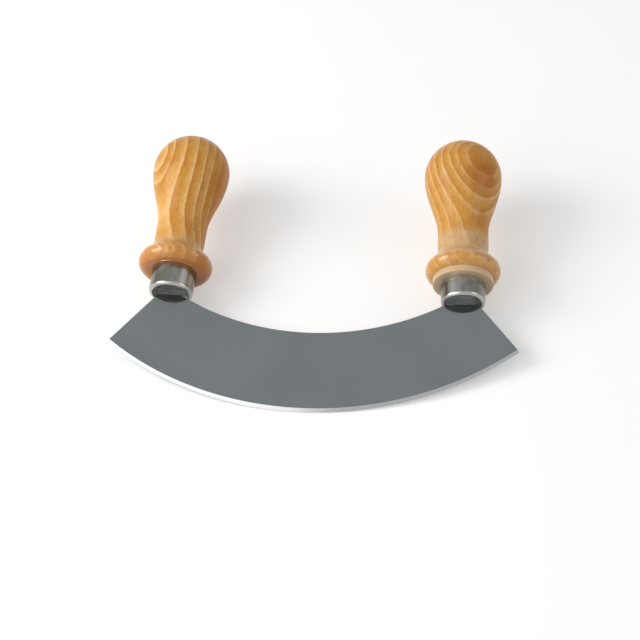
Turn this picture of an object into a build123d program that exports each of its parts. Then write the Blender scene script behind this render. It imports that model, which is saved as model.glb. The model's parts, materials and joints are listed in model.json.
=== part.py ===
from build123d import *
from math import asin, atan2, cos, degrees, hypot, radians, sin, sqrt, tan
import os

# A single-bladed mezzaluna: a crescent blade with two turned wooden handles.
# Sizes are in millimetres and angles in degrees.
# It lies on its side, as it does on a table, on the heel of its cutting edge
# and on the beads of both handles, with the bulbs held clear of the table.
# +X runs from the left tip to the right tip, +Y from the cutting edge to the
# handles, +Z up. The origin is at the middle of its box, on the table.
# Heights up a handle are measured along its axis, from the level of the
# blade's tips.

# Blade
blade_chord = 180.0
blade_width = 39.0
blade_thickness = 1.5
edge_radius = 142.0
back_radius = 111.4
back_chamfer = 0.3
bevel_width = 1.6
bevel_centre_lift = 2.2
edge_thickness = 0.12
cut_margin = 5.0

# Tangs, one at each end of the blade
tang_thickness = 1.3
tang_mouth_clearance = 0.55
tang_root_inset = 1.0
tang_root_overlap = 5.0
tang_taper_length = 2.0
tang_spike_width = 6.0
tang_spike_depth = 30.0
tang_point_length = 6.0
tang_point_width = 1.6
tang_shoulder_gap = 0.3
tang_hole_clearance = 0.1
mouth_gap = 0.2

# Handle axes, placed in from the blade's tips
handle_inset = 24.2
handle_toe_in = 2.8

# Turned profile, the same on both handles, from the bulb down to the bead
bulb_radius = 17.2
bulb_rise = 14.1
flank_radius = 14.5
flank_rise = 14.8
neck_radius = 11.2
neck_length = 8.0
cove_length = 6.2
cove_depth = 2.0
ledge_step = 1.9
ledge_depth = 1.9
bead_radius = 16.5
bead_round = 4.3
bead_height = 39.6
tenon_length = 4.0

# The handles were turned by hand. The left one's bead rolls under to a narrow
# seat for its ferrule, and the right one has a collar there
left_seat_margin = 0.1
right_collar_radius = 13.4
right_collar_length = 3.0
right_collar_round = 0.4

# Ferrules
ferrule_radius = 9.75
ferrule_wall = 1.0
ferrule_rim_radius = 1.5
ferrule_clearance = 0.05
left_ferrule_length = 11.5
right_ferrule_length = 9.7

# The two circles of the crescent, the angle that it spans each way, and how
# far its tips stand above the middle of its edge
half_angle = asin(blade_chord / 2 / edge_radius)
back_centre = blade_width + back_radius
tip_height = edge_radius * (1 - cos(half_angle))

# The bead is a torus, met by a ledge above, and the cove, neck, flank and bulb
# follow on from the ledge
ledge_radius = bead_radius - ledge_depth
cove_radius = ledge_radius - cove_depth
bead_centre_radius = bead_radius - bead_round
ledge_height = bead_height + sqrt(
    bead_round**2 - (ledge_radius - bead_centre_radius) ** 2
)
cove_height = ledge_height + ledge_step
neck_foot_height = cove_height + cove_length
neck_top_height = neck_foot_height + neck_length
flank_height = neck_top_height + flank_rise
bulb_height = flank_height + bulb_rise

# The ferrule's mouth is narrowed by its rolled rim, and the tang's root fits in it
lip_radius = ferrule_radius - ferrule_rim_radius
tang_root_width = 2 * (lip_radius - tang_mouth_clearance - tang_root_inset)

# The table touches the heel of the bevel and both beads
heel_to_bead = tip_height + bead_height * cos(radians(handle_toe_in)) - bevel_width
heel_to_bead_centre = bead_centre_radius - blade_thickness / 2
rest_angle = atan2(heel_to_bead_centre, heel_to_bead) + asin(
    bead_round / hypot(heel_to_bead_centre, heel_to_bead)
)
edge_lift = blade_thickness / 2 * cos(rest_angle) - bevel_width * sin(rest_angle)
bulb_reach = tip_height + bulb_height * cos(radians(handle_toe_in))
box_depth = bulb_reach * cos(rest_angle) + bulb_radius

# Blade plane: x to the right tip, y to the handles, z off the upper face
blade_plane = Plane(
    origin=(0, -box_depth / 2, edge_lift),
    x_dir=(1, 0, 0),
    z_dir=(0, -sin(rest_angle), cos(rest_angle)),
)


def turning_plane(side):
    """The plane of one handle: x along its axis, z off the blade's upper face."""
    foot_reach = side * (blade_chord / 2 - handle_inset)
    foot = blade_plane.from_local_coords((foot_reach, tip_height, 0))
    lean = 90 + side * handle_toe_in
    along = blade_plane.x_dir.rotate(Axis((0, 0, 0), blade_plane.z_dir), lean)
    return Plane(origin=foot, x_dir=along, z_dir=blade_plane.z_dir)


# Each side's name and direction, where its bead ends below, and the heights of
# its ferrule's seat, its tenon's end and its ferrule's mouth
sides = []
for name, side, foot_radius, collar_length, ferrule_length in (
    ("left", -1, ferrule_radius + left_seat_margin, 0, left_ferrule_length),
    ("right", 1, right_collar_radius, right_collar_length, right_ferrule_length),
):
    foot_height = bead_height - sqrt(
        bead_round**2 - (foot_radius - bead_centre_radius) ** 2
    )
    seat_height = foot_height - collar_length
    tenon_end = seat_height - tenon_length
    mouth = seat_height - ferrule_length
    sides.append((name, side, foot_radius, foot_height, seat_height, tenon_end, mouth))

os.makedirs("parts", exist_ok=True)

# Blade: a crescent of sheet steel with both ends cut on radii of its edge
with BuildPart() as blade:
    with BuildSketch(blade_plane.offset(-blade_thickness / 2)):
        with Locations((0, edge_radius)):
            Circle(edge_radius)
        with Locations((0, back_centre)):
            Circle(back_radius, mode=Mode.SUBTRACT)
        wedge_reach = (edge_radius + cut_margin) * tan(half_angle)
        with BuildLine():
            Polyline(
                (0, edge_radius),
                (-wedge_reach, -cut_margin),
                (wedge_reach, -cut_margin),
                close=True,
            )
        make_face(mode=Mode.INTERSECT)
    extrude(amount=blade_thickness)
    back_edges = blade.edges().filter_by(GeomType.CIRCLE).group_by(SortBy.RADIUS)[0]
    chamfer(back_edges, length=back_chamfer)

    # Bevel: a shallow cone off each face, a little narrower at the tips
    bevel_centre = blade_plane.from_local_coords((0, edge_radius + bevel_centre_lift, 0))
    heel_reach = edge_radius + bevel_centre_lift - bevel_width
    bevel_slope = (blade_thickness - edge_thickness) / 2 / bevel_width
    bevel_end = heel_reach + blade_thickness / 2 / bevel_slope
    bevel_plane = Plane(
        origin=bevel_centre, x_dir=-blade_plane.y_dir, z_dir=blade_plane.x_dir
    )
    with BuildSketch(bevel_plane):
        for face in (-1, 1):
            with BuildLine():
                Polyline(
                    (heel_reach, face * blade_thickness / 2),
                    (bevel_end, 0),
                    (bevel_end, face * blade_thickness),
                    (heel_reach, face * blade_thickness),
                    close=True,
                )
            make_face()
    revolve(axis=Axis(bevel_centre, blade_plane.z_dir), mode=Mode.SUBTRACT)

    # Tangs: the sheet is thinner from just short of each ferrule's mouth, and
    # narrows inside the ferrule to a spike that runs up the handle's axis
    for name, side, foot_radius, foot_height, seat_height, tenon_end, mouth in sides:
        plane = turning_plane(side)
        with BuildSketch(plane.offset(-blade_thickness)):
            with Locations((mouth - mouth_gap, 0)):
                Rectangle(blade_width, blade_width, align=(Align.MIN, Align.CENTER))
        extrude(amount=2 * blade_thickness, mode=Mode.SUBTRACT)
        root_middle = side * tang_root_inset
        spike_start = tenon_end - tang_shoulder_gap
        spike_end = tenon_end + tang_spike_depth
        with BuildSketch(plane.offset(-tang_thickness / 2)):
            with BuildLine():
                near_edge = Polyline(
                    (mouth - mouth_gap - tang_root_overlap, root_middle - tang_root_width / 2),
                    (spike_start - tang_taper_length, root_middle - tang_root_width / 2),
                    (spike_start, -tang_spike_width / 2),
                    (spike_end - tang_point_length, -tang_spike_width / 2),
                    (spike_end, -tang_point_width / 2),
                )
                far_edge = Polyline(
                    (mouth - mouth_gap - tang_root_overlap, root_middle + tang_root_width / 2),
                    (spike_start - tang_taper_length, root_middle + tang_root_width / 2),
                    (spike_start, tang_spike_width / 2),
                    (spike_end - tang_point_length, tang_spike_width / 2),
                    (spike_end, tang_point_width / 2),
                )
                Line(near_edge @ 0, far_edge @ 0)
                Line(near_edge @ 1, far_edge @ 1)
            make_face()
        extrude(amount=tang_thickness)
blade.part.label = "blade"
export_step(blade.part, "parts/blade.step")

for name, side, foot_radius, foot_height, seat_height, tenon_end, mouth in sides:
    plane = turning_plane(side)
    turning_axis = Axis(plane.origin, plane.x_dir)

    # Ferrule: a drawn tube with its mouth rolled inwards
    with BuildPart() as ferrule:
        bore_radius = ferrule_radius - ferrule_wall
        rim_height = mouth + ferrule_rim_radius
        with BuildSketch(plane):
            with BuildLine():
                RadiusArc(
                    (rim_height, ferrule_radius), (mouth, lip_radius), -ferrule_rim_radius
                )
                Polyline(
                    (mouth, lip_radius),
                    (mouth + ferrule_wall, lip_radius),
                    (rim_height, bore_radius),
                    (seat_height, bore_radius),
                    (seat_height, ferrule_radius),
                    (rim_height, ferrule_radius),
                )
            make_face()
        revolve(axis=turning_axis)
    ferrule.part.label = f"{name}_ferrule"
    export_step(ferrule.part, f"parts/{name}_ferrule.step")

    # Handle: from its tenon up, a collar on the right, a bead, a ledge, a cove,
    # a neck and a bulb, with a slot burnt in for the tang
    with BuildPart() as handle:
        tenon_radius = ferrule_radius - ferrule_wall - ferrule_clearance
        bulb_top = bulb_height + bulb_radius
        with BuildSketch(plane):
            with BuildLine():
                Polyline(
                    (tenon_end, 0),
                    (tenon_end, tenon_radius),
                    (seat_height, tenon_radius),
                )
                if foot_height > seat_height:
                    Line(
                        (seat_height, tenon_radius),
                        (seat_height, foot_radius - right_collar_round),
                    )
                    RadiusArc(
                        (seat_height, foot_radius - right_collar_round),
                        (seat_height + right_collar_round, foot_radius),
                        right_collar_round,
                    )
                    Line(
                        (seat_height + right_collar_round, foot_radius),
                        (foot_height, foot_radius),
                    )
                else:
                    Line((seat_height, tenon_radius), (seat_height, foot_radius))
                ThreePointArc(
                    (foot_height, foot_radius),
                    (bead_height, bead_radius),
                    (ledge_height, ledge_radius),
                )
                Line((ledge_height, ledge_radius), (cove_height, cove_radius))
                Spline(
                    (cove_height, cove_radius),
                    (neck_foot_height, neck_radius),
                    tangents=((1, -1), (1, 0)),
                )
                Line((neck_foot_height, neck_radius), (neck_top_height, neck_radius))
                Spline(
                    (neck_top_height, neck_radius),
                    (flank_height, flank_radius),
                    (bulb_height, bulb_radius),
                    tangents=((1, 0), (1, 0)),
                )
                RadiusArc((bulb_height, bulb_radius), (bulb_top, 0), bulb_radius)
                Line((bulb_top, 0), (tenon_end, 0))
            make_face()
        revolve(axis=turning_axis)
        slot_width = tang_spike_width + 2 * tang_hole_clearance
        slot_thickness = tang_thickness + 2 * tang_hole_clearance
        slot_depth = tang_spike_depth + tang_hole_clearance
        with BuildSketch(plane.offset(-slot_thickness / 2)):
            with Locations((tenon_end, 0)):
                Rectangle(slot_depth, slot_width, align=(Align.MIN, Align.CENTER))
        extrude(amount=slot_thickness, mode=Mode.SUBTRACT)
    handle.part.label = f"{name}_handle"
    export_step(handle.part, f"parts/{name}_handle.step")

print("Rest angle:", round(degrees(rest_angle), 2), "degrees")
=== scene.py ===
"""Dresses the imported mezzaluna: a polished crescent blade, two plated ferrules
and two turned, varnished beech handles, on a pale floor in soft light."""

import json
from math import asin, atan2, cos, pi, radians, sin, sqrt

import bpy
import numpy as np
from bpy.props import FloatProperty, FloatVectorProperty, PointerProperty
from bpy.types import Operator, Panel, PropertyGroup
from mathutils import Matrix, Vector


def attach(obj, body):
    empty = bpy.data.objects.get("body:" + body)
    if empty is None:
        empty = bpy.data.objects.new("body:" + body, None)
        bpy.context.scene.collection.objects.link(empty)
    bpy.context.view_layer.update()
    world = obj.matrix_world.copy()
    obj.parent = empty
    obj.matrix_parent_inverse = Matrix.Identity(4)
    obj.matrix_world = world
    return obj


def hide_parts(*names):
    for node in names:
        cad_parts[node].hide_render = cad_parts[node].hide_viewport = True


bl_info = {
    "name": "Mezzaluna",
    "version": (1, 0, 0),
    "blender": (4, 5, 0),
    "location": "3D View > Sidebar > Mezzaluna",
    "description": "Blade, ferrules, handles and stage of a mezzaluna",
    "category": "Object",
}

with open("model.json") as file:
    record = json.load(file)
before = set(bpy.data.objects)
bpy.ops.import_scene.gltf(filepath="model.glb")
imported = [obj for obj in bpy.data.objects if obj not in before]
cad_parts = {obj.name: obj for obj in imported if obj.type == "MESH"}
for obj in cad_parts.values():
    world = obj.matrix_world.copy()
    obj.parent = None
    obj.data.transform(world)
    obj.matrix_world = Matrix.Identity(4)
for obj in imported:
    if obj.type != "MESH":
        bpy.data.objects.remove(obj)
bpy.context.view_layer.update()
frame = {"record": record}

# The blade lies in the plane that the record's mount on its flat gives
flat_mount = frame["record"]["mounts"][0]
flat_point = Vector(flat_mount["pos_m"])
flat_normal = Vector(flat_mount["axis"]).normalized()

SIDES = (("left", -1), ("right", 1))

# Numbers of points along and round the surfaces
BLADE_SEARCH = 4001
BLADE_RINGS = 541
FLAT_POINTS = 25
BEVEL_POINTS = 5
TANG_RINGS = 120
TANG_AROUND = 48
FERRULE_RINGS = 170
FERRULE_AROUND = 256
HANDLE_AROUND = 160

# Angles past which an edge is shaded as a corner
BLADE_CREASE = radians(12)
TURNED_CREASE = radians(50)

# The camera's place in metres, its turn in degrees and its focal length in millimetres
CAMERA_PLACE = (0.132486, -0.821415, 0.884862)
CAMERA_TURN = (42.65634, 3.65955, 5.27033)
CAMERA_LENS = 153.506

# The tone through a growth ring, from its dark edge to its light line
RING_TONES = (
    (0.0, 0.16), (0.12, 0.24), (0.45, 0.40), (0.70, 0.58), (0.86, 0.86), (0.95, 0.92), (1.0, 0.35),
)

# Tool marks to a metre: along and across the ground steel, up the ferrules, up the handles
GRINDING = (9000, 500)
POLISHING = 6000
TURNING = 3200

# How far the growth rings wander off their circles, in wide waves and in fine ones
WIDE_WANDER = 0.0016
FINE_WANDER = 0.00045

# How strongly the painted highlight shows on the ferrule's rim, how wide the painted shade
# in the wood's crevices reaches, how high the filler stands in the slot, and the radii over
# which the smear on the right collar fades
RIM_SHINE = 0.45
CREVICE_WIDTH = 0.00025
FILLER_HEIGHT = 0.0003
SMEAR_FADES = (0.0100, 0.0128)

# Heights on a handle between which the rings gain contrast, the reddish stain and painted
# shade at the left bead's foot fade, and the varnish loses its gloss
RINGS_CLEAR = (0.0430, 0.0480)
RED_FADES = (0.0352, 0.0394)
GLOSS_FADES = (0.042, 0.050)

# How each handle lay in the tree. In a place, x runs up the handle's axis, y across it in
# the blade's plane and z off that plane. All lengths are in metres.
# ring_edges: distances from the pith where growth rings meet
# pith, pith_point: the direction of the pith, and a point on it
# light_inside: whether a ring's light line is on its side towards the pith
# contrast: strength of the rings on the bead, and above it
# red places: reddish stains, and painted shade on the left bead's right side; centre, distances from it of
# full strength and of none, strength
# heart: distances from the pith where the reddish tint starts and is full, strength
# bare: heights between which the varnish is thin, strength
# collar_top: height up to which the collar is bare, where there is one
GRAIN = {
    "left": {
        "ring_edges": (
            0.0750, 0.0797, 0.0842, 0.0881, 0.0926, 0.0975, 0.1017, 0.1036,
            0.1054, 0.1080, 0.1150, 0.1200, 0.1238, 0.1281, 0.1330,
        ),
        "pith": (1, -1.093, 1.472),
        "pith_point": (0.070, -0.066389, -0.055827),
        "light_inside": True,
        "contrast": (0.85, 1.0),
        "red_and_shaded_places": (
            ((0.0358, 0.0131, 0.0045), 0.0025, 0.0085, 0.60),
            ((0.0790, -0.0140, 0.0085), 0.0020, 0.0075, 0.42),
            # Painted shade on the right side of the left bead
            ((0.0366, -0.0150, 0.0020), 0.0045, 0.0125, 0.62),
        ),
        "heart": (0.0850, 0.0780, 0.55),
        "bare": (0.0425, 0.0470, 0.28),
    },
    "right": {
        "ring_edges": (
            0.0870, 0.0930, 0.0985, 0.1040, 0.1095, 0.1144,
            0.1184, 0.1222, 0.1253, 0.1275, 0.1298, 0.1345,
        ),
        "pith": (0.974, 0.097, -0.127),
        "pith_point": (-0.0162, 0.0601, -0.0783),
        "light_inside": False,
        "contrast": (0.40, 0.78),
        "red_and_shaded_places": (
            ((0.0800, -0.0098, 0.0130), 0.0040, 0.0110, 0.66),
            ((0.0618, -0.0089, 0.0070), 0.0020, 0.0065, 0.45),
        ),
        "heart": (0.1262, 0.1302, 0.18),
        "bare": (0.0402, 0.0527, 0.62),
        "collar_top": 0.0352,
    },
}


def length(name, description, default):
    settings = {"unit": "LENGTH", "subtype": "DISTANCE", "precision": 5}
    return FloatProperty(name=name, description=description, default=default, **settings)


def number(name, description, default):
    return FloatProperty(name=name, description=description, default=default)


def colour(name, description, default):
    settings = {"subtype": "COLOR", "size": 3, "min": 0.0, "max": 1.0}
    return FloatVectorProperty(name=name, description=description, default=default, **settings)


class BladeSizes(PropertyGroup):
    """Sizes of the crescent and its tangs."""

    chord: length("Chord", "From tip to tip", 0.18)
    width: length("Width", "From the edge to the back at the middle", 0.039)
    thickness: length("Thickness", "Of the sheet steel", 0.0015)
    edge_radius: length("Edge radius", "Of the cutting edge", 0.142)
    back_radius: length("Back radius", "Of the concave back", 0.1114)
    back_chamfer: length("Back chamfer", "Along the concave back", 0.0003)
    bevel_width: length("Bevel width", "At the middle of the edge", 0.0016)
    bevel_lift: length("Bevel lift", "Of the grinding cone's axis", 0.0022)
    edge_thickness: length("Edge thickness", "Left on the cutting edge", 0.00012)
    end_break: length("End break", "Taken off the edges of both end cuts", 0.0001)
    tang_thickness: length("Tang thickness", "Of the tangs", 0.0013)
    tang_root_width: length("Tang root width", "In the ferrule's mouth", 0.0134)
    tang_root_inset: length("Tang root inset", "Towards the middle", 0.001)
    tang_root_overlap: length("Tang overlap", "Of the root with the blade", 0.005)
    tang_taper_length: length("Tang taper", "From the root to the spike", 0.002)
    tang_spike_width: length("Spike width", "In the handle", 0.006)
    tang_spike_depth: length("Spike depth", "In the handle", 0.03)
    tang_point_length: length("Point length", "At the spike's end", 0.006)
    tang_point_width: length("Point width", "At the spike's end", 0.0016)
    tang_shoulder_gap: length("Shoulder gap", "Below the tenon", 0.0003)


class HandleSizes(PropertyGroup):
    """Sizes of the turned handles; heights run up the axis from the tips' level."""

    inset: length("Inset", "Of the axis from the blade's tip", 0.0242)
    toe_in: FloatProperty(
        name="Toe-in",
        description="Lean of each handle towards the middle",
        default=radians(2.8),
        unit="ROTATION",
        subtype="ANGLE",
    )
    bulb_radius: length("Bulb radius", "Of the round end", 0.0172)
    bulb_rise: length("Bulb rise", "From the flank to the bulb", 0.0141)
    flank_radius: length("Flank radius", "Half way up the bulb", 0.0145)
    flank_rise: length("Flank rise", "From the neck to the flank", 0.0148)
    neck_radius: length("Neck radius", "Of the straight neck", 0.0112)
    neck_length: length("Neck length", "Of the straight neck", 0.008)
    cove_length: length("Cove length", "From the ledge to the neck", 0.0062)
    cove_depth: length("Cove depth", "In from the ledge", 0.002)
    ledge_step: length("Ledge step", "Height of the ledge", 0.0019)
    ledge_depth: length("Ledge depth", "In from the bead", 0.0019)
    bead_radius: length("Bead radius", "Over the bead", 0.0165)
    bead_round: length("Bead round", "Radius of the bead's section", 0.0043)
    bead_height: length("Bead height", "Of the bead's middle", 0.0396)
    seat_margin: length("Seat margin", "Of the left bead's foot round the ferrule", 0.0001)
    collar_radius: length("Collar radius", "Of the right handle's collar", 0.0134)
    collar_length: length("Collar length", "Of the right handle's collar", 0.003)
    collar_round: length("Collar round", "On the collar's end", 0.0004)
    tenon_length: length("Tenon length", "In the ferrule", 0.004)
    slot_clearance: length("Slot clearance", "Round the tang", 0.0001)
    sanding: length("Sanding", "Rounding of the turned corners", 0.00012)


class FerruleSizes(PropertyGroup):
    """Sizes of the ferrules."""

    radius: length("Radius", "Outside", 0.00975)
    wall: length("Wall", "Of the drawn tube", 0.001)
    rim_radius: length("Rim radius", "Of the rolled mouth", 0.0015)
    clearance: length("Clearance", "On the tenon", 0.00005)
    lip_round: length("Lip round", "On the edges of the rolled lip", 0.0002)
    mouth_gap: length("Mouth gap", "From the mouth to the blade", 0.0002)
    left_length: length("Left length", "Of the left ferrule", 0.0115)
    right_length: length("Right length", "Of the right ferrule", 0.0097)
    # Lengths of the painted reflection down from the seat and of the painted highlight up from the mouth
    painted_seat_reflection: length("Worn seat", "Fresh plating, down from the seat", 0.0024)
    painted_rim_highlight: length("Worn rim", "Fresh plating, up from the mouth", 0.0017)


class Finishes(PropertyGroup):
    """Colours of the steel, the plating and the beech, and their grain."""

    steel: colour("Steel", "Polished flats of the blade", (0.184, 0.206, 0.217))
    smudge: colour("Smudge", "Cloudy places on the flats", (0.165, 0.185, 0.192))
    ground: colour("Ground steel", "Bevel and chamfer", (0.49, 0.495, 0.49))
    forged: colour("Forged steel", "Tangs", (0.80, 0.83, 0.83))
    plating: colour("Plating", "Outside of the ferrules", (0.31, 0.315, 0.295))
    # Pale colour of the painted reflection by the seats and of the painted highlight on the rims
    fresh: colour("Fresh plating", "Beside the seats of the ferrules", (0.74, 0.73, 0.69))
    # Dark colour of the painted reflection streaks on the plating
    painted_dark_reflection: colour("Tarnish", "Dull streaks on the plating", (0.115, 0.115, 0.085))
    hollow: colour("Hollow", "Inside of the ferrules", (0.84, 0.84, 0.82))
    latewood: colour("Latewood", "Dark side of each ring", (0.49, 0.190, 0.028))
    beech: colour("Beech", "Body of the wood", (0.70, 0.345, 0.075))
    earlywood: colour("Earlywood", "Light line of each ring", (0.86, 0.56, 0.235))
    ember: colour("Ember", "Reddish places", (0.50, 0.15, 0.015))
    bare: colour("Bare wood", "Where the varnish is thin", (0.69, 0.485, 0.28))
    pore: colour("Pore", "Flecks of the rays", (0.26, 0.09, 0.015))
    polish_dust: colour("Polish dust", "Rubbed into the right collar", (0.28, 0.235, 0.165))
    filler: colour("Filler", "On the end of each tenon, round the tang", (0.47, 0.47, 0.46))
    ray_length: length("Ray length", "Of the flecks, along the grain", 0.0021)
    ray_width: length("Ray width", "Of the flecks, across the grain", 0.00042)


class StudioLight(PropertyGroup):
    """Floor, lamps and the level of the light."""

    floor: colour("Floor", "Paint of the floor", (0.80, 0.80, 0.80))
    floor_reach: length("Floor reach", "Half the width of the floor", 3.0)
    floor_glow: number("Floor glow", "Added so that the lit floor shows white", 0.33)
    sky: number("Sky", "Level of the light from all round", 0.46)
    key: number("Key", "Power of the small lamp on the left, in watts", 4.9)
    key_size: length("Key size", "Of the small lamp on the left", 0.50)
    broad: number("Broad", "Power of the wide lamp on the left, in watts", 3.8)
    broad_size: length("Broad size", "Of the wide lamp on the left", 0.95)
    fill: number("Fill", "Power of the lamp on the right, in watts", 1.3)
    fill_size: length("Fill size", "Of the lamp on the right", 0.48)


class Field:
    """The value at one socket. Arithmetic on it adds Math nodes."""

    def __init__(self, shader, socket):
        self.shader = shader
        self.socket = socket

    def __add__(self, other):
        return self.shader.math("ADD", self, other)

    __radd__ = __add__

    def __sub__(self, other):
        return self.shader.math("SUBTRACT", self, other)

    def __rsub__(self, other):
        return self.shader.math("SUBTRACT", other, self)

    def __mul__(self, other):
        return self.shader.math("MULTIPLY", self, other)

    __rmul__ = __mul__


class Shader:
    """The node tree of one finish or of the world."""

    def __init__(self, owner):
        self.owner = owner
        owner.use_nodes = True
        self.tree = owner.node_tree
        self.tree.nodes.clear()

    def add(self, kind, settings=None, sockets=None, output=0):
        """Adds one node: its type, its settings, then the values or links of its sockets."""
        node = self.tree.nodes.new(kind)
        for key, value in (settings or {}).items():
            if key == "stops":
                stops = node.color_ramp.elements
                for place, _ in value[1:-1]:
                    stops.new(place)
                for stop, (place, shade) in zip(stops, value):
                    stop.position = place
                    stop.color = (*shade, 1) if isinstance(shade, tuple) else (shade,) * 3 + (1,)
            else:
                setattr(node, key, value)
        for key, value in (sockets or {}).items():
            socket = node.inputs[key]
            if isinstance(value, Field):
                self.tree.links.new(value.socket, socket)
            else:
                socket.default_value = value
        return Field(self, node.outputs[output]) if node.outputs else None

    def math(self, operation, *values):
        return self.add("ShaderNodeMath", {"operation": operation}, dict(enumerate(values)))

    def vector(self, operation, *values, output="Vector"):
        sockets = dict(enumerate(values))
        return self.add("ShaderNodeVectorMath", {"operation": operation}, sockets, output)

    def mix(self, share, first, second):
        colours = [c if isinstance(c, Field) else (*c, 1) for c in (first, second)]
        sockets = {0: share, 6: colours[0], 7: colours[1]}
        return self.add("ShaderNodeMix", {"data_type": "RGBA"}, sockets, output=2)

    def ramp(self, value, stops):
        return self.add("ShaderNodeValToRGB", {"stops": stops}, {0: value})

    def spread(self, value, low, high, start=0.0, end=1.0, curve="LINEAR"):
        """Carries low..high to start..end, and stops there."""
        sockets = {"Value": value, "From Min": low, "From Max": high, "To Min": start, "To Max": end}
        return self.add("ShaderNodeMapRange", {"interpolation_type": curve}, sockets)

    def noise(self, place, scale=1.0, detail=2.0, roughness=0.5, w=0.0):
        sockets = {"Vector": place, "W": w, "Scale": scale, "Detail": detail, "Roughness": roughness}
        return self.add("ShaderNodeTexNoise", {"noise_dimensions": "4D"}, sockets)

    def tool_marks(self, along, across=0.0, detail=2):
        """Noise over one number, or over two."""
        place = self.add("ShaderNodeCombineXYZ", sockets={0: along, 1: across})
        return self.noise(place, detail=detail)

    def stretch(self, place, scale):
        """Scales the place, which narrows a pattern by as much along each axis."""
        return self.add("ShaderNodeMapping", sockets={"Vector": place, "Scale": scale})

    def place(self):
        return self.add("ShaderNodeTexCoord", output="Object")

    def attribute(self, name):
        return self.add("ShaderNodeAttribute", {"attribute_name": name}, output="Fac")

    def bump(self, strength, distance, height):
        sockets = {"Strength": strength, "Distance": distance, "Height": height}
        return self.add("ShaderNodeBump", sockets=sockets)

    def finish(self, surface):
        """Puts the surface on the material's output and gives the material back."""
        self.add("ShaderNodeOutputMaterial", sockets={"Surface": surface})
        return self.owner

    def principled(self, base, roughness, normal, others):
        sockets = {"Base Color": base, "Roughness": roughness, "Normal": normal, **others}
        return self.finish(self.add("ShaderNodeBsdfPrincipled", sockets=sockets))


def skin(rings, start=None, end=None, closed=False):
    """Faces over a grid of points, (rings, points round, 3).

    The quad of ring k and point m joins points (k, m), (k, m+1), (k+1, m+1)
    and (k+1, m), and m+1 wraps round. Where closed, the last ring joins the
    first one. A start or end point closes that end with a fan of triangles.
    """
    count, around = rings.shape[:2]
    k, m = np.meshgrid(np.arange(count), np.arange(around), indexing="ij")
    beside, above = (m + 1) % around, (k + 1) % count
    quads = np.stack([k * around + m, k * around + beside, above * around + beside, above * around + m], -1)
    if not closed:
        quads = quads[:-1]
    points = rings.reshape(-1, 3)
    fans = [np.zeros((0, 3), int)]
    first = np.arange(around)
    after = (first + 1) % around
    last = (count - 1) * around
    for pole, ring in ((start, (after, first)), (end, (last + first, last + after))):
        if pole is not None:
            fans.append(np.stack([np.full(around, len(points)), *ring], -1))
            points = np.vstack([points, pole])
    return points, quads.reshape(-1, 4), np.vstack(fans)


def new_object(name, data):
    made = bpy.data.objects.new(name, data)
    bpy.context.scene.collection.objects.link(made)
    return made


def make_mesh(name, shells, sharp_angle, materials, marks):
    """One mesh of several skins.

    Each shell is (points, quads, triangles, material index of each quad). The
    triangles take the first material of their shell. Marks are floats on points.
    """
    points, loops, sizes, slots, before = [], [], [], [], 0
    for shell_points, quads, triangles, slot in shells:
        slot = np.broadcast_to(slot, len(quads))
        points.append(shell_points)
        loops += [(quads + before).ravel(), (triangles + before).ravel()]
        sizes += [np.full(len(quads), 4), np.full(len(triangles), 3)]
        slots += [slot, np.full(len(triangles), slot[0])]
        before += len(shell_points)
    points, loops = np.vstack(points), np.concatenate(loops)
    sizes, slots = np.concatenate(sizes), np.concatenate(slots)
    mesh = bpy.data.meshes.new(name)
    mesh.vertices.add(len(points))
    mesh.vertices.foreach_set("co", points.astype(np.float32).ravel())
    mesh.loops.add(len(loops))
    mesh.loops.foreach_set("vertex_index", loops.astype(np.int32))
    mesh.polygons.add(len(sizes))
    starts = np.cumsum(sizes) - sizes
    for key, values in (("loop_start", starts), ("loop_total", sizes), ("material_index", slots)):
        mesh.polygons.foreach_set(key, values.astype(np.int32))
    mesh.polygons.foreach_set("use_smooth", np.ones(len(sizes), bool))
    for mark, values in marks.items():
        layer = mesh.attributes.new(mark, "FLOAT", "POINT")
        layer.data.foreach_set("value", values.astype(np.float32))
    mesh.update(calc_edges=True)
    mesh.validate()
    mesh.set_sharp_from_angle(angle=sharp_angle)
    for material in materials:
        mesh.materials.append(material)
    return new_object(name, mesh)


def place_piece(piece, node):
    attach(piece, "root")
    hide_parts(node)


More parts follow.
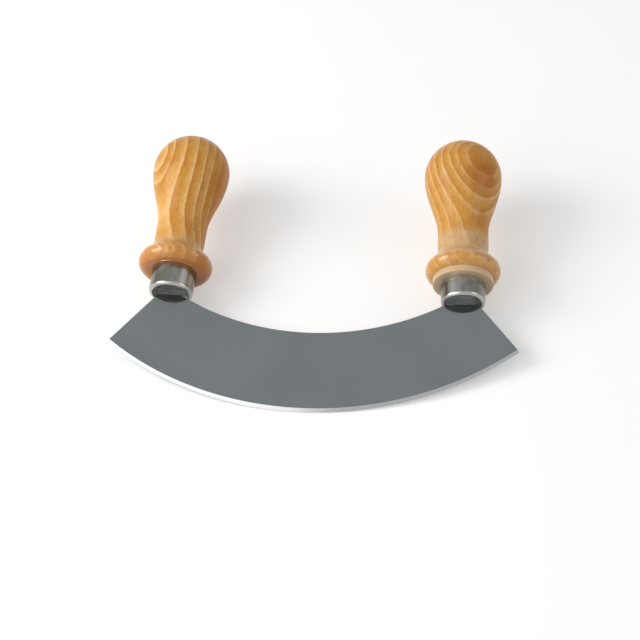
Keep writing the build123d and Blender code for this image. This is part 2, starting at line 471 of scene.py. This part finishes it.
class Layout:
    """Where the blade's plane and the handles' axes lie, from the sizes."""

    def __init__(self, scene):
        self.blade = scene.mezzaluna_blade
        self.handle = scene.mezzaluna_handle
        self.ferrule = scene.mezzaluna_ferrule
        blade, handle = self.blade, self.handle
        self.half_angle = asin(blade.chord / 2 / blade.edge_radius)
        self.tip_height = blade.edge_radius * (1 - cos(self.half_angle))
        self.right = np.array([1.0, 0.0, 0.0])
        self.off = np.array(flat_normal)
        self.up = np.cross(self.off, self.right)
        above_table = np.array([0.0, 0.0, 1.0])
        point = np.array(flat_point) - self.off * blade.thickness / 2
        hook = (blade.bevel_width * self.up - blade.thickness / 2 * self.off) @ above_table
        climb = (point @ above_table + hook) / (self.up @ above_table)
        self.origin = point - climb * self.up
        self.bead_centre = handle.bead_radius - handle.bead_round
        self.ledge_radius = handle.bead_radius - handle.ledge_depth
        self.ledge_height = handle.bead_height + sqrt(
            handle.bead_round**2 - (self.ledge_radius - self.bead_centre) ** 2
        )

    def axis(self, side):
        """The foot of a handle's axis, its direction and the direction across it."""
        reach = side * (self.blade.chord / 2 - self.handle.inset)
        foot = self.origin + reach * self.right + self.tip_height * self.up
        toe = self.handle.toe_in
        along = -side * sin(toe) * self.right + cos(toe) * self.up
        return foot, along, np.cross(self.off, along)

    def edge_rays(self, angle):
        """The centre of the edge's circle, and the directions from it at the angles."""
        outward = np.sin(angle)[:, None] * self.right - np.cos(angle)[:, None] * self.up
        return self.origin + self.blade.edge_radius * self.up, outward

    def bead_foot(self, side):
        """Height and radius where the bead's round ends below."""
        handle = self.handle
        radius = handle.collar_radius if side > 0 else self.ferrule.radius + handle.seat_margin
        drop = sqrt(handle.bead_round**2 - (radius - self.bead_centre) ** 2)
        return handle.bead_height - drop, radius

    def ends(self, side):
        """Heights of the ferrule's seat, the tenon's end and the ferrule's mouth."""
        handle, ferrule = self.handle, self.ferrule
        collar = handle.collar_length if side > 0 else 0.0
        tube = ferrule.right_length if side > 0 else ferrule.left_length
        seat = self.bead_foot(side)[0] - collar
        return seat, seat - handle.tenon_length, seat - tube

    def turn(self, side, profile, around, section=None):
        """Carries a profile of (height, radius) round a handle's axis.

        A point is foot + height * along + radius * (cos a * across + sin a * off),
        for the angle a from 0 to a full turn. A section gives each ring's
        radius at each angle instead.
        """
        foot, along, across = self.axis(side)
        angle = np.linspace(0, 2 * pi, around, endpoint=False)
        radial = np.cos(angle)[:, None] * across + np.sin(angle)[:, None] * self.off
        radius = profile[:, 1:2] if section is None else section
        return foot + profile[:, :1, None] * along + radius[..., None] * radial


def arc(centre, radius, start, end, count):
    """Points of an arc: centre + radius * (sin a, cos a), for a from start to end."""
    angle = np.linspace(start, end, count)
    return np.stack([centre[0] + radius * np.sin(angle), centre[1] + radius * np.cos(angle)], 1)


def ease(first, last, slopes, count):
    """A cubic from one (height, radius) to another, with a given slope at each end."""
    t = np.linspace(0, 1, count)
    span = last[0] - first[0]
    radius = (
        (2 * t**3 - 3 * t**2 + 1) * first[1]
        + (t**3 - 2 * t**2 + t) * span * slopes[0]
        + (3 * t**2 - 2 * t**3) * last[1]
        + (t**3 - t**2) * span * slopes[1]
    )
    return np.stack([first[0] + span * t, radius], 1)


def even(profile, step):
    """The same line, with points evenly about a step apart along it."""
    run = np.r_[0, np.cumsum(np.hypot(*np.diff(profile, axis=0).T))]
    places = np.linspace(0, run[-1], max(2, int(round(run[-1] / step)) + 1))
    return np.stack([np.interp(places, run, profile[:, i]) for i in (0, 1)], 1)


def sand(profile, reach, closed=False):
    """Rounds the corners of a line of even points.

    Each point becomes the mean of itself and of the points up to reach places
    before and after it. A closed line goes on round, and an open one repeats
    its end points.
    """
    padded = np.pad(profile, ((reach, reach), (0, 0)), "wrap" if closed else "edge")
    window = np.ones(2 * reach + 1) / (2 * reach + 1)
    return np.stack([np.convolve(padded[:, i], window, "valid") for i in (0, 1)], 1)


def polished_finish(name, finishes):
    """Polished steel, with fine lines along the sheet and cloudy places."""
    shader = Shader(bpy.data.materials.new(name))
    place = shader.place()
    lines = shader.noise(shader.stretch(place, (30, 2600, 900)), detail=3, roughness=0.6)
    clouds = shader.noise(place, scale=34, detail=3)
    base = shader.mix(shader.spread(clouds, 0.42, 0.68), finishes.steel, finishes.smudge)
    roughness = shader.spread(lines, 0.3, 0.7, 0.06, 0.10) + shader.spread(clouds, 0.45, 0.7, 0.0, 0.035)
    coat = {"Coat Weight": 1.0, "Coat Roughness": 0.5, "Coat IOR": 1.45}
    bump = shader.bump(0.25, 0.000001, lines)
    return shader.principled(base, roughness, bump, {"Metallic": 1.0, **coat})


def ground_finish(name, finishes):
    """Ground steel, with lines across the edge in its tone, its gloss and its relief."""
    shader = Shader(bpy.data.materials.new(name))
    along, across = shader.attribute("along"), shader.attribute("across")
    lines = shader.tool_marks(along * GRINDING[0], across * GRINDING[1], detail=3)
    tone = shader.spread(lines, 0.25, 0.75, 0.86, 1.08)
    toned = {0: finishes.ground, "Scale": tone}
    base = shader.add("ShaderNodeVectorMath", {"operation": "SCALE"}, toned)
    roughness = shader.spread(lines, 0.3, 0.7, 0.14, 0.26)
    return shader.principled(base, roughness, shader.bump(0.25, 0.00001, lines), {"Metallic": 1.0})


def forged_finish(name, finishes):
    """Dull steel with a mottled forging skin."""
    shader = Shader(bpy.data.materials.new(name))
    place = shader.place()
    mottle = shader.noise(shader.stretch(place, (260, 1400, 700)), detail=3)
    base = shader.mix(shader.spread(mottle, 0.40, 0.80) * 0.6, finishes.forged, finishes.smudge)
    return shader.principled(base, 0.30, shader.bump(0.2, 0.00001, mottle), {"Metallic": 1.0})


def plating_finish(name, finishes):
    """Plating with painted dark reflection streaks and polishing rings, a painted reflection by the seat, a
    painted highlight on the rim, and the hollow.
    """
    shader = Shader(bpy.data.materials.new(name))
    place = shader.place()
    inside = shader.attribute("inside")
    rings = shader.tool_marks(shader.attribute("along") * POLISHING)
    # Painted reflection: wide streaks and clouds darken the plating as dark surroundings would
    streaks = shader.noise(shader.stretch(place, (170, 30, 170)), detail=2, w=1.9)
    clouds = shader.noise(place, scale=210, detail=3)
    reflection_share = shader.spread(streaks, 0.38, 0.60) * 0.75 + shader.spread(clouds, 0.50, 0.75) * 0.25
    base = shader.mix(reflection_share, finishes.plating, finishes.painted_dark_reflection)
    # Painted reflection by the seat and painted highlight on the rim, in the pale colour
    base = shader.mix(shader.attribute("fresh"), base, finishes.fresh)
    base = shader.mix(inside, base, finishes.hollow)
    roughness = shader.spread(clouds, 0.35, 0.7, 0.20, 0.28) + inside * 0.08
    return shader.principled(base, roughness, shader.bump(0.15, 0.000004, rings), {"Metallic": 1.0})


def growth_rings(shader, distance, grain):
    """The tone of the wood's growth rings.

    A ring is the space between two of the distances from the pith. The
    distance becomes the number of rings up to it, whose fraction is the
    place within the ring, and that gives the tone.
    """
    edges = grain["ring_edges"]
    low, high, rings = edges[0], edges[-1], len(edges) - 1
    stops = [((edge - low) / (high - low), index / rings) for index, edge in enumerate(edges)]
    crossed = shader.ramp(shader.spread(distance, low, high), stops) * rings
    phase = shader.math("FRACT", crossed)
    if grain["light_inside"]:
        phase = 1 - phase
    return shader.ramp(phase, RING_TONES)


def beech_finish(name, finishes, layout, side, grain):
    """Varnished beech.

    Over the growth rings lie streaks along the grain, blotches, reddish
    places, wood with little varnish on it and the dark flecks of the rays.
    Painted shade darkens the crevices, the right side of the left bead and,
    with a reddish stain, the left bead's foot.
    The place is measured in the handle's own axes, as the grain is.
    """
    shader = Shader(bpy.data.materials.new(name))
    foot, along, across = layout.axis(side)
    turn = Matrix(np.stack([along, across, layout.off], 1).tolist()).to_euler()
    place = shader.add(
        "ShaderNodeMapping",
        {"vector_type": "TEXTURE"},
        {"Vector": shader.place(), "Location": tuple(foot), "Rotation": tuple(turn)},
    )
    height = shader.add("ShaderNodeSeparateXYZ", sockets={0: place})
    wander = shader.noise(place, scale=55, detail=2, w=side * 3.0)
    fine_wander = shader.noise(place, scale=260, detail=2, w=side * 5.0)
    blotches = shader.noise(place, scale=95, detail=2, w=side * 9.0)
    with_grain = shader.stretch(place, (90, 900, 900))
    streaks = shader.noise(with_grain, detail=3, roughness=0.6, w=side * 7.0)

    pith = tuple(Vector(grain["pith"]).normalized())
    arm = shader.vector("SUBTRACT", place, grain["pith_point"])
    distance = shader.vector("LENGTH", shader.vector("CROSS_PRODUCT", arm, pith), output="Value")
    distance = distance + (wander - 0.5) * WIDE_WANDER + (fine_wander - 0.5) * FINE_WANDER
    fading = shader.spread(wander + blotches * 0.5, 0.62, 0.88, 0.55, 1.1)
    strength = fading * shader.spread(height, *RINGS_CLEAR, *grain["contrast"])
    tone = (growth_rings(shader, distance, grain) - 0.5) * strength + 0.5 + (streaks - 0.5) * 0.55
    tone = tone + (blotches - 0.5) * 0.35
    base = shader.ramp(
        tone,
        (
            (0.10, tuple(finishes.latewood)),
            (0.46, tuple(finishes.beech)),
            (0.95, tuple(finishes.earlywood)),
        ),
    )

    base = shader.mix(shader.spread(blotches, 0.50, 0.75) * 0.55, base, finishes.ember)
    # Reddish places, and painted shade where a place stands for it
    for centre, near, far, amount in grain["red_and_shaded_places"]:
        gap = shader.vector("DISTANCE", place, centre, output="Value") + (fine_wander - 0.5) * 0.004
        red_and_shade = shader.spread(gap, near, far, amount, 0.0, "SMOOTHSTEP")
        base = shader.mix(red_and_shade, base, finishes.ember)
    start, full, amount = grain["heart"]
    heart = shader.spread(distance, start, full, 0.0, amount, "SMOOTHSTEP")
    base = shader.mix(heart, base, finishes.ember)
    # A reddish stain and painted shade under the left bead, strongest towards its foot
    if side < 0:
        stain_and_shade_foot = shader.spread(height + (blotches - 0.5) * 0.003, *RED_FADES, 0.7, 0.0)
        base = shader.mix(stain_and_shade_foot, base, finishes.ember)

    start, end, amount = grain["bare"]
    lower = shader.spread(height, start, start + 0.0010)
    upper = shader.spread(height + (wander - 0.5) * 0.004, end, end + 0.0045, 1.0, 0.0)
    base = shader.mix(lower * upper * amount, base, finishes.bare)
    if "collar_top" in grain:
        top = grain["collar_top"]
        collar = shader.spread(height, top, top + 0.0005, 1.0, 0.0)
        base = shader.mix(collar, base, finishes.bare)
        outward = shader.vector("MULTIPLY", place, (0, 1, 1))
        off_axis = shader.vector("LENGTH", outward, output="Value") + (blotches - 0.5) * 0.005
        smear = shader.spread(off_axis, *SMEAR_FADES, 0.6, 0.0) * collar
        base = shader.mix(smear, base, finishes.polish_dust)

    dashes = (1 / finishes.ray_length, 1 / finishes.ray_width, 1 / finishes.ray_width)
    flecks = shader.noise(shader.stretch(place, dashes), detail=0, w=side * 11.0)
    flecks = shader.spread(flecks, 0.66, 0.74)
    base = shader.mix(flecks * 0.45, base, finishes.pore)
    base = shader.mix(shader.attribute("filler"), base, finishes.filler)
    # Painted shade in the crevices at the seat, the bead's foot and the cove: the pore colour darkens them
    crevice = shader.attribute("crevice")
    base = shader.mix(crevice * 0.45, base, finishes.pore)

    relief = shader.tool_marks(height * TURNING) * 0.25 + fine_wander * 0.9 - flecks * 0.35
    bump = shader.bump(0.22, 0.00006, relief)
    roughness = shader.spread(blotches, 0.3, 0.7, 0.32, 0.46)
    gloss = shader.spread(height, *GLOSS_FADES, 0.95, 0.16) * (1 - crevice * 0.6)
    varnish = {"Coat Weight": gloss, "Coat Roughness": 0.11, "Coat IOR": 1.45}
    return shader.principled(base, roughness, bump, {"Specular IOR Level": 0.1, **varnish})


class MEZZALUNA_OT_blade(Operator):
    """Makes the crescent blade and its two tangs"""

    bl_idname = "mezzaluna.blade"
    bl_label = "Blade"

    def crescent(self, layout):
        """Carries the blade's section along its edge.

        A point is centre + r * (sin a * right - cos a * up) + n * off, for the
        angle a about the middle of the edge's circle. Across the blade, r runs
        from the back to the edge on the upper face and returns on the lower one.
        The bevel's heel is a circle about the grinding cone's axis, and from
        there n falls evenly to the edge.
        """
        blade = layout.blade
        fine = np.linspace(-layout.half_angle, layout.half_angle, BLADE_SEARCH)
        drop = blade.width + blade.back_radius - blade.edge_radius
        back = self.circle_reach(fine, drop, blade.back_radius)
        left, right = [self.mouth_reach(layout, fine, side) for _, side in SIDES]
        cut = np.maximum(back, np.where(fine < 0, left, right))
        corners = fine[1:][np.diff((cut > back).astype(int)) != 0]
        # The end cuts are broken from the next ring to the outermost one
        rounding = blade.end_break / blade.edge_radius
        ends = layout.half_angle - np.array([0, 0.3, 1.0]) * rounding
        outer, near, inner = ends
        angle = np.unique(np.r_[np.linspace(-inner, inner, BLADE_RINGS), corners, ends, -ends])
        reach = np.interp(angle, fine, cut)
        on_back = np.interp(angle, fine, (cut <= back).astype(float))

        lift = blade.bevel_lift
        heel_radius = blade.edge_radius + lift - blade.bevel_width
        heel = self.circle_reach(angle, lift, heel_radius)
        edge = blade.edge_radius
        from_cone = np.sqrt(edge**2 + 2 * edge * lift * np.cos(angle) + lift**2)
        slope = (blade.thickness - blade.edge_thickness) / 2 / blade.bevel_width
        half = blade.thickness / 2
        edge_half = half - slope * (from_cone - heel_radius)
        chamfer = blade.end_break + (blade.back_chamfer - blade.end_break) * on_back
        flat = np.linspace(0, 1, FLAT_POINTS)
        flat_radius = (reach + chamfer)[:, None] * (1 - flat) + heel[:, None] * flat
        flat_height = np.full_like(flat_radius, half)
        bevel = np.linspace(0, 1, BEVEL_POINTS + 1)[1:]
        bevel_radius = heel[:, None] * (1 - bevel) + edge * bevel
        bevel_height = half * (1 - bevel) + edge_half[:, None] * bevel
        radius = np.hstack([reach[:, None], flat_radius, bevel_radius])
        height = np.hstack([(half - chamfer)[:, None], flat_height, bevel_height])
        radius = np.hstack([radius, radius[:, ::-1]])
        height = np.hstack([height, -height[:, ::-1]])
        outermost = (np.abs(angle) > (outer + near) / 2)[:, None]
        height = np.where(outermost, height * (1 - blade.end_break / half), height)

        centre, outward = layout.edge_rays(angle)
        rings = centre + radius[..., None] * outward[:, None, :] + height[..., None] * layout.off
        points, quads, triangles = skin(rings, rings[0].mean(0), rings[-1].mean(0))
        # The chamfers, both bevels with the edge between them, and the back are ground
        around = radius.shape[1]
        column = np.tile(np.arange(around), len(angle) - 1)
        bevels = range(FLAT_POINTS, FLAT_POINTS + 2 * BEVEL_POINTS + 1)
        ground = np.isin(column, [0, *bevels, around - 2, around - 1])
        along = np.r_[np.repeat(angle * edge, around), 0, 0]
        across = np.r_[radius.ravel(), 0, 0]
        return points, quads, triangles, ground.astype(int), along, across

    def circle_reach(self, angle, drop, radius):
        """Distance from the edge's centre to a circle whose centre lies a drop above it.

        It is the square root of (b * b + radius * radius - drop * drop), less b,
        where b is drop * cos a.
        """
        b = drop * np.cos(angle)
        return np.sqrt(b**2 + radius**2 - drop**2) - b

    def mouth_reach(self, layout, angle, side):
        """Distance from the edge's centre to the plane just below a ferrule's mouth.

        It is the plane's height over the centre, along the handle's axis,
        divided by how much the ray climbs along that axis.
        """
        foot, along, _ = layout.axis(side)
        mouth = layout.ends(side)[2] - layout.ferrule.mouth_gap
        centre, outward = layout.edge_rays(angle)
        return (mouth - (centre - foot) @ along) / (outward @ along)

    def tang(self, layout, side):
        """Carries a flat section along a handle's axis.

        A point is foot + s * along + (c(s) + w(s) * x) * across + t * y * off,
        where x, y run round a rectangle with rounded corners, w narrows from
        the root to the spike's point and c is the root's shift. A coordinate
        of that rectangle is the fourth root of a circle's, with its sign.
        """
        blade = layout.blade
        foot, along, across = layout.axis(side)
        _, tenon_end, mouth = layout.ends(side)
        spike_start = tenon_end - blade.tang_shoulder_gap
        spike_end = tenon_end + blade.tang_spike_depth
        start = mouth - layout.ferrule.mouth_gap - blade.tang_root_overlap
        taper_start = spike_start - blade.tang_taper_length
        point_start = spike_end - blade.tang_point_length
        stations = np.array([start, taper_start, spike_start, point_start, spike_end])
        root, spike = blade.tang_root_width / 2, blade.tang_spike_width / 2
        s = np.unique(np.r_[np.linspace(start, spike_end, TANG_RINGS), stations])
        width = np.interp(s, stations, [root, root, spike, spike, blade.tang_point_width / 2])
        shift = np.interp(s, stations[:3], [1, 1, 0]) * side * blade.tang_root_inset
        angle = np.linspace(0, 2 * pi, TANG_AROUND, endpoint=False) + pi / TANG_AROUND
        x, y = [np.sign(turn) * np.abs(turn) ** 0.25 for turn in (np.cos(angle), np.sin(angle))]
        side_step = (shift[:, None] + width[:, None] * x)[..., None] * across
        off_step = (blade.tang_thickness / 2 * y)[None, :, None] * layout.off
        rings = foot + s[:, None, None] * along + side_step + off_step
        # The narrow sides are ground, and the flats stay forged
        narrow = np.tile(np.abs(x) > 0.97, len(s) - 1)
        return *skin(rings, rings[0].mean(0), rings[-1].mean(0)), np.where(narrow, 1, 2)

    def execute(self, context):
        layout = Layout(context.scene)
        finishes = context.scene.mezzaluna_finishes
        points, quads, triangles, ground, along, across = self.crescent(layout)
        tangs = [self.tang(layout, side) for _, side in SIDES]
        on_tangs = np.zeros(sum(len(tang[0]) for tang in tangs))
        materials = [
            polished_finish("polished_steel", finishes),
            ground_finish("ground_steel", finishes),
            forged_finish("forged_steel", finishes),
        ]
        shells = [(points, quads, triangles, ground), *tangs]
        marks = {"along": np.r_[along, on_tangs], "across": np.r_[across, on_tangs]}
        piece = make_mesh("crescent_blade", shells, BLADE_CREASE, materials, marks)
        place_piece(piece, "blade")
        return {"FINISHED"}


class MEZZALUNA_OT_ferrules(Operator):
    """Makes the two ferrules with their rolled mouths"""

    bl_idname = "mezzaluna.ferrules"
    bl_label = "Ferrules"

    def profile(self, layout, side):
        """A closed line round the tube's wall, up the outside and down the bore.

        The points picked from the fine line stand closer where it bends: each
        step of the line counts for 1 and for its bend, up to a limit.
        """
        ferrule = layout.ferrule
        seat, _, mouth = layout.ends(side)
        bore = ferrule.radius - ferrule.wall
        lip = ferrule.radius - ferrule.rim_radius
        rim_height = mouth + ferrule.rim_radius
        line = [
            [[mouth, lip]],
            arc((rim_height, lip), ferrule.rim_radius, -pi / 2, 0, 40),
            [[seat, ferrule.radius], [seat, bore], [rim_height, bore]],
            [[mouth + ferrule.wall, lip], [mouth, lip]],
        ]
        step = ferrule.lip_round / 4
        rounded = sand(even(np.vstack(line), step)[:-1], 3, closed=True)
        turns = np.roll(rounded, -1, 0) - 2 * rounded + np.roll(rounded, 1, 0)
        bend = np.hypot(*turns.T) / step**2
        run = np.cumsum(1 + np.minimum(bend / 400, 10))
        places = np.linspace(run[0], run[-1], FERRULE_RINGS, endpoint=False)
        return rounded[np.unique(np.searchsorted(run, places))]

    def execute(self, context):
        layout = Layout(context.scene)
        ferrule = layout.ferrule
        material = plating_finish("bright_plating", context.scene.mezzaluna_finishes)
        for name, side in SIDES:
            profile = self.profile(layout, side)
            height, radius = profile.T
            rings = layout.turn(side, profile, FERRULE_AROUND)
            points, quads, triangles = skin(rings, closed=True)
            seat, _, mouth = layout.ends(side)
            inner_side = radius < ferrule.radius - ferrule.wall * 0.7
            in_bore = inner_side & (height > mouth + ferrule.wall * 0.6)
            # Painted reflection of the collar down from the seat, and painted highlight up from the mouth,
            # capped at RIM_SHINE
            painted_seat_reflection = np.clip(1 - (seat - height) / ferrule.painted_seat_reflection, 0, 1)
            painted_rim_highlight = np.clip(1 - (height - mouth) / ferrule.painted_rim_highlight, 0, RIM_SHINE) * ~in_bore
            marks = {
                "along": np.repeat(height, FERRULE_AROUND),
                "inside": np.repeat(in_bore.astype(float), FERRULE_AROUND),
                "fresh": np.repeat(np.maximum(painted_seat_reflection, painted_rim_highlight), FERRULE_AROUND),
            }
            shells = [(points, quads, triangles, 0)]
            piece = make_mesh(f"{name}_rolled_ferrule", shells, TURNED_CREASE, [material], marks)
            place_piece(piece, f"{name}_ferrule")
        return {"FINISHED"}


class MEZZALUNA_OT_handles(Operator):
    """Makes the two turned beech handles"""

    bl_idname = "mezzaluna.handles"
    bl_label = "Handles"

    def turned_profile(self, layout, side):
        """The turned line from the tenon's end almost to the top, its crevices and the top.

        The bead, the collar's corner and the bulb are arcs, and the cove and
        the two flanks are cubics that meet with one slope.
        """
        handle, ferrule = layout.handle, layout.ferrule
        seat, tenon_end, _ = layout.ends(side)
        foot_height, foot_radius = layout.bead_foot(side)
        tenon_radius = ferrule.radius - ferrule.wall - ferrule.clearance
        bead_centre = (handle.bead_height, layout.bead_centre)
        bead_start = atan2(foot_height - handle.bead_height, foot_radius - layout.bead_centre)
        bead_end = asin((layout.ledge_height - handle.bead_height) / handle.bead_round)
        cove = (layout.ledge_height + handle.ledge_step, layout.ledge_radius - handle.cove_depth)
        neck_foot = (cove[0] + handle.cove_length, handle.neck_radius)
        neck_top = (neck_foot[0] + handle.neck_length, handle.neck_radius)
        flank = (neck_top[0] + handle.flank_rise, handle.flank_radius)
        bulb = (flank[0] + handle.bulb_rise, handle.bulb_radius)
        lower, upper = handle.flank_rise, handle.bulb_rise
        bend = (flank[1] - neck_top[1]) / lower**2 + (bulb[1] - flank[1]) / upper**2
        slope = 1.5 * bend / (1 / lower + 1 / upper)
        corner = (seat + handle.collar_round, foot_radius - handle.collar_round)
        collar = arc(corner, handle.collar_round, -pi / 2, 0, 8)
        below = [
            [[tenon_end, tenon_radius], [seat, tenon_radius]],
            collar if side > 0 else [[seat, foot_radius]],
            arc(bead_centre, handle.bead_round, bead_start, bead_end, 60),
            ease(cove, neck_foot, (-1, 0), 40),
        ]
        above = [
            [neck_foot, neck_top],
            ease(neck_top, flank, (0, slope), 80)[1:],
            ease(flank, bulb, (slope, 0), 80)[1:],
            arc((bulb[0], 0), handle.bulb_radius, 0, pi / 2, 90)[1:],
        ]
        reach = 2
        fine = sand(even(np.vstack(below), handle.sanding / reach), reach)[::4]
        coarse = even(np.vstack(above), 0.0009)[:-2]
        crevices = np.array([(seat, ferrule.radius), (foot_height, foot_radius), cove])
        return np.vstack([fine, coarse]), crevices, bulb[0] + handle.bulb_radius

    def body(self, layout, side, profile):
        """Rings of the whole handle: up the slot's wall, over the tenon's end and up the outside.

        A ring in the slot is its rectangle, whose radius at an angle is the
        smaller of half the width over the cosine and half the thickness over
        the sine. Over the tenon's end it widens evenly to a circle.
        """
        blade, handle = layout.blade, layout.handle
        tenon_end = layout.ends(side)[1]
        angle = np.linspace(0, 2 * pi, HANDLE_AROUND, endpoint=False)
        slot_width = blade.tang_spike_width / 2 + handle.slot_clearance
        slot_thickness = blade.tang_thickness / 2 + handle.slot_clearance
        slot_radius = np.minimum(
            slot_width / np.maximum(np.abs(np.cos(angle)), 1e-6),
            slot_thickness / np.maximum(np.abs(np.sin(angle)), 1e-6),
        )
        slot_depth = blade.tang_spike_depth + handle.slot_clearance
        slot_heights = tenon_end + slot_depth * np.array([1, 0.66, 0.33, 0.0])
        face = np.array([0.35, 0.7])[:, None]
        face_radius = slot_radius * (1 - face) + profile[0, 1] * face
        slot = np.tile(slot_radius, (len(slot_heights), 1))
        outside = np.repeat(profile[:, 1:], HANDLE_AROUND, 1)
        section = np.vstack([slot, face_radius, outside])
        heights = np.r_[slot_heights, np.full(len(face), tenon_end), profile[:, 0]]
        line = np.stack([heights, section.max(1)], 1)
        return line, layout.turn(side, line, HANDLE_AROUND, section)

    def execute(self, context):
        layout = Layout(context.scene)
        finishes = context.scene.mezzaluna_finishes
        for name, side in SIDES:
            profile, crevices, top = self.turned_profile(layout, side)
            line, rings = self.body(layout, side, profile)
            foot, along, _ = layout.axis(side)
            points, quads, triangles = skin(rings, foot + line[0, 0] * along, foot + top * along)
            # Painted shade: a mark that is 1 at the crevices and fades over CREVICE_WIDTH
            gap = np.hypot(*(line[:, None] - crevices).transpose(2, 0, 1)).min(1)
            crevice = np.exp(-((gap / CREVICE_WIDTH) ** 2))
            filled = line[:, 0] < layout.ends(side)[1] + FILLER_HEIGHT
            marks = {
                "crevice": np.r_[np.repeat(crevice, HANDLE_AROUND), 0, 0],
                "filler": np.r_[np.repeat(filled, HANDLE_AROUND), 1, 0],
            }
            material = beech_finish(f"{name}_varnished_beech", finishes, layout, side, GRAIN[name])
            shells = [(points, quads, triangles, 0)]
            piece = make_mesh(f"{name}_turned_handle", shells, TURNED_CREASE, [material], marks)
            place_piece(piece, f"{name}_handle")
        return {"FINISHED"}


class MEZZALUNA_OT_stage(Operator):
    """Makes the floor, the lamps, the world and the camera"""

    bl_idname = "mezzaluna.stage"
    bl_label = "Stage"

    def floor(self, light):
        reach = light.floor_reach
        mesh = bpy.data.meshes.new("floor")
        corners = [(-reach, -reach, 0), (reach, -reach, 0), (reach, reach, 0), (-reach, reach, 0)]
        mesh.from_pydata(corners, [], [(0, 1, 2, 3)])
        shader = Shader(bpy.data.materials.new("pale_floor"))
        paint = shader.add("ShaderNodeBsdfDiffuse", sockets={"Color": (*light.floor, 1)})
        glow = shader.add("ShaderNodeEmission", sockets={"Strength": seen(shader) * light.floor_glow})
        surface = shader.add("ShaderNodeAddShader", sockets={0: paint, 1: glow})
        mesh.materials.append(shader.finish(surface))
        floor = new_object("floor", mesh)

    def lamp(self, name, toward, distance, size, power):
        """A square lamp that shines on the origin from the given direction."""
        lamp = bpy.data.lights.new(name, "AREA")
        lamp.shape = "SQUARE"
        lamp.size = size
        lamp.energy = power
        holder = new_object(name, lamp)
        direction = Vector(toward).normalized()
        holder.location = direction * distance
        holder.rotation_euler = direction.to_track_quat("Z", "Y").to_euler()

    def camera(self):
        camera = bpy.data.cameras.new("camera")
        camera.lens = CAMERA_LENS
        camera.sensor_width = 36.0
        camera.clip_start = 0.1
        holder = new_object("camera", camera)
        holder.location = CAMERA_PLACE
        holder.rotation_euler = [radians(turn) for turn in CAMERA_TURN]
        bpy.context.scene.camera = holder

    def execute(self, context):
        light = context.scene.mezzaluna_light
        self.floor(light)
        self.lamp("key_lamp", (-0.80, -0.05, 0.58), 0.98, light.key_size, light.key)
        self.lamp("broad_lamp", (-0.60, -0.52, 0.60), 1.02, light.broad_size, light.broad)
        self.lamp("fill_lamp", (0.84, 0.05, 0.50), 1.0, light.fill_size, light.fill)
        world = bpy.data.worlds.new("studio")
        context.scene.world = world
        shader = Shader(world)
        strength = light.sky + seen(shader) * (1 - light.sky)
        glow = shader.add("ShaderNodeBackground", sockets={"Strength": strength})
        shader.add("ShaderNodeOutputWorld", sockets={"Surface": glow})
        context.scene.view_settings.view_transform = "Standard"
        self.camera()
        return {"FINISHED"}


def seen(shader):
    """1 for a ray from the camera, off metal or through glass, and 0 for the light itself."""
    kinds = ("Is Camera Ray", "Is Glossy Ray", "Is Transmission Ray")
    camera, glossy, glass = [shader.add("ShaderNodeLightPath", output=kind) for kind in kinds]
    return shader.math("MAXIMUM", shader.math("MAXIMUM", camera, glossy), glass)


class MEZZALUNA_PT_panel(Panel):
    """The mezzaluna's pieces and their sizes"""

    bl_idname = "MEZZALUNA_PT_panel"
    bl_label = "Mezzaluna"
    bl_space_type = "VIEW_3D"
    bl_region_type = "UI"
    bl_category = "Mezzaluna"

    def draw(self, context):
        column = self.layout.column()
        for operator in OPERATORS:
            column.operator(operator.bl_idname)
        for name, group in GROUPS:
            sizes = getattr(context.scene, name)
            for key in group.__annotations__:
                column.prop(sizes, key)


GROUPS = (
    ("mezzaluna_blade", BladeSizes),
    ("mezzaluna_handle", HandleSizes),
    ("mezzaluna_ferrule", FerruleSizes),
    ("mezzaluna_finishes", Finishes),
    ("mezzaluna_light", StudioLight),
)
OPERATORS = (
    MEZZALUNA_OT_blade,
    MEZZALUNA_OT_ferrules,
    MEZZALUNA_OT_handles,
    MEZZALUNA_OT_stage,
)


def register():
    for name, group in GROUPS:
        bpy.utils.register_class(group)
        setattr(bpy.types.Scene, name, PointerProperty(type=group))
    for kind in (*OPERATORS, MEZZALUNA_PT_panel):
        bpy.utils.register_class(kind)


def unregister():
    for kind in reversed((*OPERATORS, MEZZALUNA_PT_panel)):
        bpy.utils.unregister_class(kind)
    for name, group in reversed(GROUPS):
        delattr(bpy.types.Scene, name)
        bpy.utils.unregister_class(group)


def main():
    register()
    bpy.ops.mezzaluna.blade()
    bpy.ops.mezzaluna.ferrules()
    bpy.ops.mezzaluna.handles()
    bpy.ops.mezzaluna.stage()
    bpy.context.view_layer.update()


if __name__ == "__main__":
    main()
